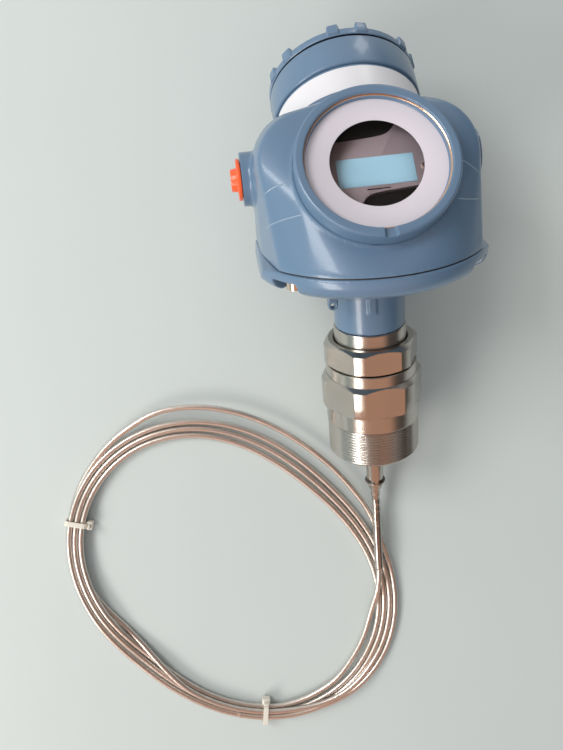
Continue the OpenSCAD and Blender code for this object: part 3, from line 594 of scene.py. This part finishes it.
add_bar(cast, front, BARREL_R, 28, FRONT_FACE + 2)
add_bar(cast, rear, BARREL_R, 28, REAR_FACE + 2)
for sign in (-1, 1):
    add_bar(cast, entry_axis(sign), BOSS_R, HALF_W - 12, BOSS_X + 2)
bmesh.ops.recalc_face_normals(cast, faces=cast.faces[:])
housing_mesh = bpy.data.meshes.new("housing_casting")
cast.to_mesh(housing_mesh)
cast.free()
housing_mesh.materials.append(enamel)
housing = bpy.data.objects.new("housing_casting", housing_mesh)
bpy.context.collection.objects.link(housing)
softened(housing, 0.95, 14)


def cut_by(piece, name, fill):
    """Cuts a piece by closed solids that fill() adds to a bmesh."""
    mesh, cutter_mesh = bmesh.new(), bpy.data.meshes.new(name)
    fill(mesh)
    bmesh.ops.recalc_face_normals(mesh, faces=mesh.faces[:])
    mesh.to_mesh(cutter_mesh)
    mesh.free()
    cutter = bpy.data.objects.new(name, cutter_mesh)
    bpy.context.collection.objects.link(cutter)
    cut = piece.modifiers.new(name, "BOOLEAN")
    cut.operation = "DIFFERENCE"
    cut.solver = "EXACT"
    cut.object = cutter
    applied(piece)
    bpy.data.objects.remove(cutter)


def add_block(mesh, axis, low, high):
    """A block between two corners in millimetres on an axis, added to a bmesh."""
    low, high = Vector(low) * MM, Vector(high) * MM
    size = Matrix.Diagonal((*(high - low), 1))
    bmesh.ops.create_cube(mesh, size=1, matrix=axis @ Matrix.Translation((low + high) / 2) @ size)


housing_cuts = [
    lambda m: add_block(m, neck, (-90, -90, HEAD_Z - 12), (90, 90, HEAD_Z)),
    lambda m: add_bar(m, front, 60, FRONT_FACE, FRONT_FACE + 12),
    lambda m: add_bar(m, rear, 60, REAR_FACE, REAR_FACE + 12),
    lambda m: add_bar(m, front, BORE_R, FRONT_FACE - 13.5, FRONT_FACE + 5),
    lambda m: add_bar(m, rear, BORE_R, REAR_FACE - 14, REAR_FACE + 5),
    lambda m: add_block(m, neck, (BOSS_X, -10, 150), (BOSS_X + 9, 45, 215)),
    lambda m: add_block(m, neck, (-BOSS_X - 9, -10, 150), (-BOSS_X, 45, 215)),
    lambda m: add_bar(m, entry_axis(1), 10, BOSS_X - 18, BOSS_X + 4, 64),
    lambda m: add_bar(m, entry_axis(-1), 10, BOSS_X - 18, BOSS_X + 4, 64),
]
for number, fill in enumerate(housing_cuts):
    cut_by(housing, f"cut_{number}", fill)
smooth_finish(housing, 38)


LINE_SIDES = 8


def mould_line(points, width=0.45):
    """A thin raised bead along points given on the neck axis: each is drawn to the casting's surface
    and the bead is a small tube half sunk in it."""
    marks = np.array(points, dtype=float)
    far = np.concatenate([[0], np.cumsum(np.linalg.norm(np.diff(marks, axis=0), axis=1))])
    even = np.linspace(0, far[-1], max(8, int(far[-1] / 0.8)))
    loose = np.stack([np.interp(even, far, marks[:, k]) for k in range(3)], axis=1)
    weights = np.array([1, 2, 3, 2, 1]) / 9
    loose[2:-2] = np.stack([np.convolve(loose[:, k], weights, mode="valid") for k in range(3)], axis=1)
    spots = [housing.closest_point_on_mesh(Vector(p)) for p in on_axis(neck, loose)]
    at, out = np.array([s[1] for s in spots]), np.array([s[2] for s in spots])
    ahead = np.gradient(at, axis=0)
    ahead /= np.linalg.norm(ahead, axis=1, keepdims=True)
    beside = np.cross(ahead, out)
    a = (np.arange(LINE_SIDES) * tau / LINE_SIDES)[None, :, None]
    taper = np.clip(np.minimum(even, far[-1] - even) / 2, 0.15, 1)[:, None, None] * width * MM
    ring = np.cos(a) * beside[:, None] + 0.7 * np.sin(a) * out[:, None]
    faces = [list(f)[::-1] for f in grid_quads(len(even), LINE_SIDES)]
    last = (len(even) - 1) * LINE_SIDES
    faces += [list(range(LINE_SIDES)), [last + k for k in range(LINE_SIDES - 1, -1, -1)]]
    return (at[:, None] + taper * ring).reshape(-1, 3), faces


mould_lines = [[(-62.7, -23.8, 161.2), (-57.5, -32, 166.5), (-52.1, -38.6, 170.6), (-41.5, -43.3, 173.2)],
               [(-60.5, -25, 181), (-58.3, -27.1, 183.5), (-55.1, -30.1, 186.6), (-50, -33, 189)],
               [(44, -29, 190.5), (47.9, -29.6, 188.9), (55.6, -30.6, 185.1), (60, -29, 181)],
               [(40.4, -43.9, 172.7), (47.3, -42.4, 171.7), (56.3, -34.2, 168.3)]]
# Painted highlight: the beads take a lighter blue than the enamel, so that they read as lit ridges.
mould_line_painted_highlight = finish("mould_line_painted_highlight", (0.24, 0.34, 0.45), 0.4, coat=0.5, cloud=(60, 0.05),
                     grain=(420, 0.03))
line_points, line_faces, count = [], [], 0
for marks in mould_lines:
    points, faces = mould_line(marks)
    line_points.append(points)
    line_faces += [[i + count for i in f] for f in faces]
    count += len(points)
add_piece("mould_lines", np.concatenate(line_points), line_faces, mould_line_painted_highlight, "head", slot="enamel_blue")
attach(housing, "head")
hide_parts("housing")

# ---------------------------------------------------------------- front cover
# Screwed cover with a stepped opening: blue enamel with one narrow step of bare machined metal
# inside, tinted copper as a painted warm reflection, and one wrench slot in the rim.
# Bare metal whose copper colour is a painted warm reflection, not the metal's own colour.
machined = finish("machined_painted_warm_reflection", (0.80, 0.58, 0.42), 0.25, metal=1.0, cloud=(60, 0.1),
                  axis=Vector(front.col[2].to_3d()), lines=0.04)


def cover_shape(r, z, a):
    """The wrench slot: the rim's face drops by 2.2 mm over 5.5 mm at the bottom of the ring."""
    off = np.abs((a + pi / 2 + pi) % tau - pi)
    floor = 51.4 - 2.2 * (1 - np.clip((off * 41 - 2.75) / 0.25, 0, 1))
    return r, np.where(r > 38.5, np.minimum(z, floor), z)


cover_outside = [(37.8, 28), (39.95, 28), (39.95, 40.4), (42.6, 40.4), (43.6, 41.3), (43.6, 50.0),
                 (43.2, 51.0), (42.4, 51.4), (40.8, 51.4), (39.0, 51.4), (38.6, 51.0)]
cover_inside = [(38.6, 49.6), (37.9, 49.3), (37.8, 48.8), (37.8, 47.2), (37.4, 46.9), (37.4, 46.4),
                (37.8, 46.4)]
cover_rows = eased(cover_outside + cover_inside, 0.25)
COVER_SIDES = 360
BARE_STEP = range(1, 7)        # rows of faces inside the rim that are bare metal
cover_points, cover_faces = turned(cover_rows, COVER_SIDES, cover_shape)
cover = add_piece("display_cover", cover_points, cover_faces, [enamel, machined], "front_lid",
                  ["front_cover"], "enamel_blue", front, crisp=32)
outside_rows = 3 * len(cover_outside)
# the bare step's faces take the metal with the painted copper reflection
for polygon in cover.data.polygons:
    row = polygon.index // COVER_SIDES
    polygon.material_index = int(row - outside_rows in BARE_STEP)

# ---------------------------------------------------------------- dial card, glass and its ring
# A plain white card ring lies on the round glass; the black ring below holds the glass in the cover.
# The glass has a low index and casts no shadow, which keeps the display behind it bright.
DULL = 0.08                    # specular level of coated glass and of matt black behind it
card = finish("white_card", (0.72, 0.665, 0.71), 0.55, cloud=(18, 0.03), grain=(1600, 0.01))
card_profile = [(24.8, 46.02), (37.7, 46.02), (37.7, 46.34), (25.1, 46.4), (24.8, 46.3)]
add_piece("card_ring", *turned(card_profile, 192), card, "front_lid", ["dial_card"], "card_white", front)
glass = finish("clear_glass", (1, 1, 1), 0.03, cloud=(5, 0.0), grain=(8, 0.0))
constants(glass, {"Transmission Weight": 1.0, "IOR": 1.2, "Specular IOR Level": DULL})
glass_profile = [(0, 40), (37.3, 40), (37.7, 40.4), (37.7, 45.6), (37.4, 45.98), (0, 45.98)]
sight_glass = add_piece("sight_glass", *turned(glass_profile, 160), glass, "front_lid", ["front_glass"],
                        "cover_glass", front)
sight_glass.visible_shadow = False
black_plastic = finish("black_plastic", (0.004, 0.004, 0.004), 0.5, cloud=(80, 0.1), grain=(600, 0.03))
constants(black_plastic, {"Specular IOR Level": DULL})
ring_profile = [(34.2, 36.8), (37.7, 36.8), (37.7, 40), (35.4, 40), (34.2, 39)]
add_piece("glass_holder", *turned(eased(ring_profile, 0.25), 128), black_plastic, "front_lid",
          ["glass_ring"], "plastic_black", front)

# ---------------------------------------------------------------- display
# A black carrier with a raised grey bezel whose upper and lower edges are S-shaped, and the pale
# blue liquid crystal panel let into it.
grey_bezel = finish("grey_bezel", (0.24, 0.195, 0.215), 0.42, coat=0.2, cloud=(70, 0.08), grain=(800, 0.02))
add_piece("display_carrier", *turned(eased([(0, 28.4), (33, 28.4), (33, 33.6), (0, 33.6)], 0.4), 128),
          black_plastic, "head", ["display_module"], "plastic_black", front)


def arc_points(radius, start, stop, count):
    """Points on a circle between two angles in degrees."""
    return [(radius * cos(radians(t)), radius * sin(radians(t))) for t in np.linspace(start, stop, count)]


def plate(outline, low, high, ease=0.3):
    """A flat plate with an eased upper edge, from an outline that goes round counter-clockwise."""
    flat = np.array(outline, dtype=float)
    ahead, behind = np.roll(flat, -1, axis=0), np.roll(flat, 1, axis=0)
    tangent = ahead - behind
    inward = np.column_stack([-tangent[:, 1], tangent[:, 0]])
    inward = inward / np.linalg.norm(inward, axis=1, keepdims=True)
    rings = [(0, low), (0, high - ease), (0.3 * ease, high - 0.3 * ease), (ease, high)]
    points = np.concatenate([np.column_stack([flat + s * inward, np.full(len(flat), z)]) for s, z in rings])
    count = len(flat)
    faces = [list(f) for f in grid_quads(4, count)]
    faces.append(list(range(count - 1, -1, -1)))
    faces.append([3 * count + k for k in range(count)])
    return points * MM, faces


bezel_top = [(15.5, 27.2), (13.6, 25), (12.0, 23.2), (9.6, 21.6), (6, 20.6), (1, 20.1), (-4, 19.8),
             (-16, 19.2), (-25, 18.6)]
bezel_bottom = [(-12.5, -28.2), (-10.8, -22), (-8.8, -17.3), (-7, -15), (-4.4, -13.4), (-1, -12.5),
                (4.9, -11.9), (19.6, -10.9), (29, -10.3)]
bezel_outline = (arc_points(31.4, -19.3, 60.3, 16) + bezel_top + arc_points(31.4, 143.6, 245.9, 20)
                 + bezel_bottom)
add_piece("display_bezel", *plate(bezel_outline, 33.5, 36.4), grey_bezel, "head", slot="display_grey",
          place=front)
panel_blue = finish("panel_blue", (0.29, 0.50, 0.63), 0.35, cloud=(25, 0.06), grain=(900, 0.0))
constants(panel_blue, {"Specular IOR Level": 0.1})
add_piece("panel_glass", *eased_block((-20.2, -8.4, 35.4), (21.8, 8.4, 36.75), 0.35), panel_blue, "head",
          ["lcd_panel"], "lcd_blue", front)
add_piece("bezel_mark", *eased_block((-5.6, -10.7, 36.2), (7.0, -10.0, 36.5), 0.12), black_plastic, "head",
          slot="plastic_black", place=front)

# ---------------------------------------------------------------- rear cover
# Deep screwed cover with a smooth band, a fine groove and a castellated rim: six pairs of lugs for
# the wrench, and a shallow dish in its face. The groove's faces are painted near-black as its shade.
LUG_PAIRS, LUG_GAP, LUG_SPAN = 6, 21, 8.6


def lug_height(a):
    """1 on a lug, 0 between lugs, with sides that slope over one degree."""
    turn = (np.degrees(a) - 90 + 180 / LUG_PAIRS) % (360 / LUG_PAIRS) - 180 / LUG_PAIRS
    off = np.abs(np.abs(turn) - LUG_GAP / 2)
    return np.clip((LUG_SPAN / 2 - off) / 1.1 + 0.5, 0, 1)


def lugged(row):
    """The same outline at a lug, which stands 1 mm out of the rim and 2.7 mm over its face."""
    changed = {(45, 85.2): (46, 85.4), (45, 88.2): (46, 91.2), (44.4, 89): (45.4, 91.9),
               (43.6, 89.3): (44.6, 92), (41.2, 89.3): (40.9, 92), (40.6, 89.3): (40.3, 91.5)}
    return changed.get(row, row)


rim_rows = [(0, 65), (35.95, 65), (35.95, 51), (39.95, 51), (39.95, 63.5), (44.4, 63.5), (45, 64.2),
            (45, 82.4), (44.6, 82.8), (43.1, 82.85), (43.1, 84.15), (44.6, 84.2), (45, 84.6), (45, 85.0),
            (45, 85.2), (45, 88.2), (44.4, 89), (43.6, 89.3), (41.2, 89.3), (40.6, 89.3), (40.2, 89.3),
            (37.4, 89.3), (36.8, 87.7), (0, 87.7)]
GROOVE_LOW, GROOVE_HIGH, REAR_SIDES = 82.7, 84.25, 720
rear_rows = np.array(eased(rim_rows, 0.2))
lug_change = (np.array(eased([lugged(row) for row in rim_rows], 0.2)) - rear_rows)[1:-1]


def rear_shape(r, z, a):
    """The plain outline and the one at a lug, blended by the lug's height."""
    return r + lug_change[:, :1] * lug_height(a), z + lug_change[:, 1:] * lug_height(a)


# Painted shade: a near-black colour on the groove's faces stands for the shadow inside the groove.
groove_painted_shade = finish("groove_painted_shade", (0.012, 0.018, 0.03), 0.6, cloud=(60, 0.1), grain=(420, 0.03))
wiring_points, wiring_faces = turned(rear_rows, REAR_SIDES, rear_shape)
wiring_cover = add_piece("wiring_cover", wiring_points, wiring_faces, [enamel, groove_painted_shade], "rear_lid",
                         ["rear_cover"], "enamel_blue", rear, crisp=32)
rear_height = rear_rows[1:-1, 1]
# faces between the groove's edges get the painted shade
for polygon in wiring_cover.data.polygons:
    row = polygon.index // REAR_SIDES
    ends = rear_height[row:row + 2]
    if len(ends) == 2 and min(ends) > GROOVE_LOW:
        polygon.material_index = int(max(ends) < GROOVE_HIGH)

# ---------------------------------------------------------------- rear label
# A bare white film label round the upper side of the rear barrel.
film = finish("label_film", (0.80, 0.78, 0.80), 0.35, coat=0.2, cloud=(20, 0.02), grain=(500, 0.01))
LABEL_STEPS = 121
label_a = np.radians(np.linspace(-165, -15, LABEL_STEPS))
label_section = np.array([(43.55, 45.96), (43.85, 46.0), (43.85, 61.46), (43.55, 61.5)])
label_points = np.stack([np.outer(np.cos(label_a), label_section[:, 0]),
                         np.outer(np.sin(label_a), label_section[:, 0]),
                         np.outer(np.ones(LABEL_STEPS), label_section[:, 1])], axis=-1) * MM
label_faces = [list(f[::-1]) for f in grid_quads(LABEL_STEPS, 4)]
label_faces += [list(range(4)), [LABEL_STEPS * 4 - k for k in range(1, 5)]]
add_piece("film_label", label_points, label_faces, film, "head", ["rear_label"], "label_white", rear)

# ---------------------------------------------------------------- shipping plug
# Orange moulded plug pushed into the left conduit entry: a thin flange and a slightly tapered cap.
orange = finish("orange_plastic", (1.0, 0.13, 0.03), 0.32, coat=0.3, cloud=(60, 0.06), grain=(500, 0.03))
left_entry = entry_axis(-1)
plug_profile = [(0, 59.4), (9.7, 59.4), (9.7, 69.7), (12, 69.7), (12, 71.9), (7.4, 71.9), (6.9, 72.3),
                (6.3, 75.6), (0, 75.8)]
add_piece("shipping_plug", *turned(eased(plug_profile, 0.5), 64), orange, "plug", ["entry_plug"],
          "plug_orange", left_entry)

# ---------------------------------------------------------------- pieces kept as they are in the CAD model
# The gasket, the screws, the seals and the inner modules keep their meshes and get a finish.
bright_steel = finish("bright_screws", (0.80, 0.66, 0.55), 0.2, metal=1.0, cloud=(300, 0.1))
black_rubber = finish("black_rubber", (0.015, 0.015, 0.015), 0.55, cloud=(100, 0.1), grain=(900, 0.03))
seal_white = finish("white_seal", (0.85, 0.85, 0.83), 0.4, cloud=(50, 0.04))
dark_plastic = finish("dark_plastic", (0.04, 0.045, 0.05), 0.45, cloud=(80, 0.1), grain=(600, 0.03))
kept = {"tank_seal": seal_white, "base_gasket": black_rubber, "base_screws": bright_steel,
        "ground_screw": bright_steel, "front_o_ring": black_rubber, "rear_o_ring": black_rubber,
        "display_screws": bright_steel, "electronics_module": dark_plastic,
        "terminal_block": black_plastic, "terminal_screws": bright_steel}
for node_name, material in kept.items():
    node = frame["nodes"][node_name]
    node.data.materials.clear()
    node.data.materials.append(material)

# ---------------------------------------------------------------- bench, light and air
# A pale grey-green bench, two large soft lamps on the left and a small one far beyond the head.
# Matt pieces get even light, darker on the right; shiny and clear ones see a room, brown overhead,
# copper-coloured towards the probe, dark right and grey-green left, and the camera a pale wall.
bench_top = finish("bench_top", (0.62, 0.665, 0.64), 0.55, cloud=(3, 0.06), grain=(300, 0.02))
floor_mesh = bpy.data.meshes.new("bench_top")
floor_mesh.from_pydata([(-3, -3, 0), (3, -3, 0), (3, 3, 0), (-3, 3, 0)], [], [(0, 1, 2, 3)])
floor_mesh.materials.append(bench_top)
floor = bpy.data.objects.new("bench_top", floor_mesh)
bpy.context.collection.objects.link(floor)


def lamp(name, place, target, width, length, power, colour=(1, 1, 1)):
    """A rectangular soft lamp that faces a point, its length along the bench's y."""
    data = bpy.data.lights.new(name, "AREA")
    data.shape = "RECTANGLE"
    data.size = width
    data.size_y = length
    data.energy = power
    data.color = colour
    light = bpy.data.objects.new(name, data)
    bpy.context.collection.objects.link(light)
    back = (Vector(place) - Vector(target)).normalized()
    beside = Vector((0, 1, 0)).cross(back).normalized()
    facing = Matrix((beside, back.cross(beside), back)).transposed().to_4x4()
    light.matrix_world = Matrix.Translation(place) @ facing


lamp("window", (-1.12, 0.66, 1.25), (0, 0, 0.03), 0.70, 0.8, 15.0)
lamp("low_window", (-1.25, -0.79, 0.99), (-0.02, 0.04, 0.05), 0.43, 1.1, 14.0, (1, 0.95, 0.91))
lamp("far_window", (0.40, 1.12, 0.26), (0, 0.05, 0.05), 0.30, 0.20, 0.7, (1, 0.98, 0.95))
world = bpy.data.worlds.new("room")
bpy.context.scene.world = world
world.use_nodes = True
air = world.node_tree.nodes["Background"]
air_nodes, air_link = world.node_tree.nodes, world.node_tree.links.new
rays = air_nodes.new("ShaderNodeLightPath")
seen = air_nodes.new("ShaderNodeMath")
seen.operation = "MAXIMUM"
air_link(rays.outputs["Is Glossy Ray"], seen.inputs[0])
air_link(rays.outputs["Is Transmission Ray"], seen.inputs[1])
direction = air_nodes.new("ShaderNodeTexCoord")
split = air_nodes.new("ShaderNodeSeparateXYZ")
air_link(direction.outputs["Generated"], split.inputs[0])
room = air_nodes.new("ShaderNodeValToRGB")
room.color_ramp.elements[0].position = 0.25
room.color_ramp.elements[0].color = (0.78, 0.80, 0.78, 1)
room.color_ramp.elements[1].position = 0.90
room.color_ramp.elements[1].color = (0.30, 0.165, 0.12, 1)
half_way = room.color_ramp.elements.new(0.62)
half_way.color = (0.50, 0.42, 0.38, 1)
air_link(split.outputs["Z"], room.inputs["Fac"])


def towards(axis_name, low, high):
    """0 where the direction's part along an axis is under low, 1 over high."""
    step = air_nodes.new("ShaderNodeMapRange")
    step.interpolation_type = "SMOOTHSTEP"
    step.inputs["From Min"].default_value = low
    step.inputs["From Max"].default_value = high
    air_link(split.outputs[axis_name], step.inputs["Value"])
    return step.outputs["Result"]


def tinted(colour_in, factor, colour):
    """The room's colour mixed with another by a factor."""
    mix = air_nodes.new("ShaderNodeMix")
    mix.data_type = "RGBA"
    mix.inputs[7].default_value = colour
    air_link(colour_in, mix.inputs[6])
    air_link(factor, mix.inputs[0])
    return mix.outputs[2]


wood = air_nodes.new("ShaderNodeMath")
wood.operation = "MULTIPLY"
air_link(towards("Y", -0.25, -0.6), wood.inputs[0])
air_link(towards("X", -0.98, -0.75), wood.inputs[1])
room_colour = tinted(room.outputs["Color"], wood.outputs[0], (0.64, 0.36, 0.25, 1))
room_colour = tinted(room_colour, towards("X", 0.4, 0.75), (0.10, 0.085, 0.075, 1))
room_colour = tinted(room_colour, towards("X", -0.55, -0.85), (0.37, 0.46, 0.45, 1))
even_air = air_nodes.new("ShaderNodeRGB")
even_air.outputs[0].default_value = (0.57, 0.58, 0.59, 1)
light_or_seen = air_nodes.new("ShaderNodeMix")
light_or_seen.data_type = "RGBA"
matt_light = tinted(even_air.outputs[0], towards("X", 0.1, 0.8), (0.20, 0.20, 0.21, 1))
air_link(matt_light, light_or_seen.inputs[6])
air_link(seen.outputs[0], light_or_seen.inputs[0])
air_link(room_colour, light_or_seen.inputs[7])
wall = tinted(light_or_seen.outputs[2], rays.outputs["Is Camera Ray"], (0.66, 0.69, 0.68, 1))
air_link(wall, air.inputs["Color"])
bpy.context.scene.view_settings.view_transform = "Standard"
